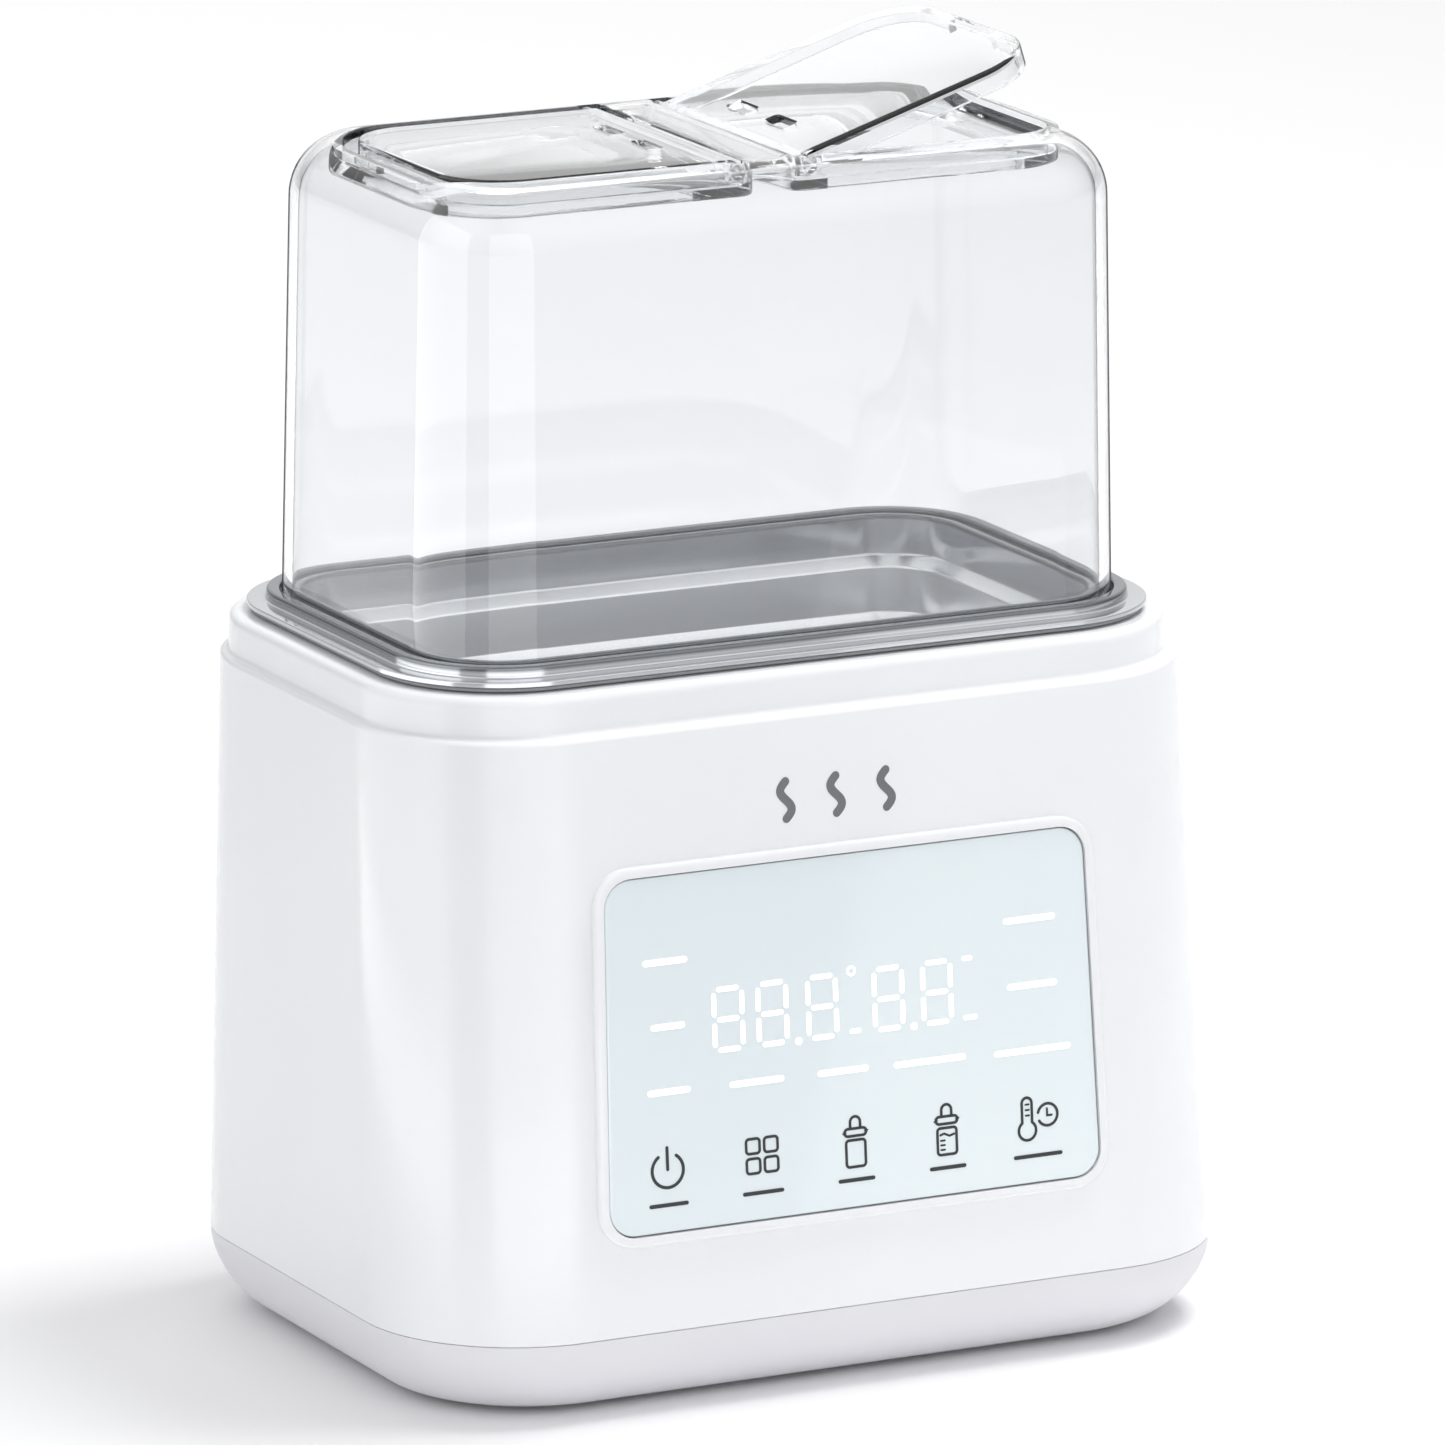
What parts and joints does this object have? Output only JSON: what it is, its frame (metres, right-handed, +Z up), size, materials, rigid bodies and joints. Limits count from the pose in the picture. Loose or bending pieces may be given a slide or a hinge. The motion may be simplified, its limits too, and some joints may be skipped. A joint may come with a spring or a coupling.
{
  "type": "bottle sterilizer",
  "caption": "Steam bottle sterilizer and warmer: white casing with touch panel, steel bath, lift-off clear hood with flip-up hatch lids and a rack",
  "frame": {"origin": "on the table under the middle of the object's bounding box", "axes": "+Z up, the control panel faces -Y, +X towards the right-hand hatch as the user sees it"},
  "size_m": [0.2, 0.1428, 0.2784],
  "materials": {
    "white_abs": "moulded, glossy white",
    "grey_abs": "moulded, fine satin, a little greyer than the casing",
    "rubber_foot": "matt",
    "stainless_steel": "pressed and polished",
    "silicone": "soft matt",
    "clear_plastic": "clear, polished",
    "panel_glass": "pale blue-grey printed acrylic with a gloss face",
    "milky_plastic": "milky white",
    "black_plastic": "matt black",
    "touch_foam": "conductive foam",
    "circuit_board": "green solder mask",
    "cast_aluminium": "as cast",
    "plated_steel": "zinc plated",
    "ceramic": "unglazed ceramic",
    "brass": "brass",
    "blue_plastic": "blue moulding"
  },
  "bodies": {
    "base": {"base_cover": "grey_abs", "base_screw_front_left": "plated_steel", "base_screw_front_right": "plated_steel", "base_screw_rear_left": "plated_steel", "base_screw_rear_right": "plated_steel", "basin_gasket": "silicone", "bracket_screw_front": "plated_steel", "bracket_screw_rear": "plated_steel", "buzzer": "black_plastic", "digit_display": "black_plastic", "display_board": "circuit_board", "foot_front_left": "rubber_foot", "foot_front_right": "rubber_foot", "foot_rear_left": "rubber_foot", "foot_rear_right": "rubber_foot", "heater_bracket": "plated_steel", "heater_tube": "plated_steel", "heating_plate": "cast_aluminium", "housing_shell": "white_abs", "inlet_blade_left": "brass", "inlet_blade_right": "brass", "light_guide": "milky_plastic", "mains_fuse": "ceramic", "power_board": "circuit_board", "power_inlet": "black_plastic", "relay": "blue_plastic", "smoothing_capacitor": "black_plastic", "steel_basin": "stainless_steel", "temperature_sensor": "brass", "thermal_cutout": "ceramic", "touch_glass": "panel_glass", "touch_pad_1": "touch_foam", "touch_pad_2": "touch_foam", "touch_pad_3": "touch_foam", "touch_pad_4": "touch_foam", "touch_pad_5": "touch_foam", "transformer": "black_plastic"},
    "hood": {"clear_hood": "clear_plastic"},
    "left_lid": {"left_lid": "clear_plastic"},
    "right_lid": {"right_lid": "clear_plastic"},
    "rack": {"bottle_rack": "milky_plastic"}
  },
  "joints": [
    {"name": "hood_lift", "type": "slide", "parent": "base", "child": "hood", "axis": [0, 0, 1], "range_m": [0, 0.15]},
    {"name": "left_lid_hinge", "type": "hinge", "parent": "hood", "child": "left_lid", "pos_m": [-0.0086, 0.00705, 0.2577], "axis": [0, 1, 0], "range_deg": [0, 95]},
    {"name": "right_lid_hinge", "type": "hinge", "parent": "hood", "child": "right_lid", "pos_m": [0.0086, 0.00705, 0.2577], "axis": [0, -1, 0], "range_deg": [-17.5, 77.5]},
    {"name": "rack_lift", "type": "slide", "parent": "base", "child": "rack", "axis": [0, 0, 1], "range_m": [0, 0.112]}
  ]
}
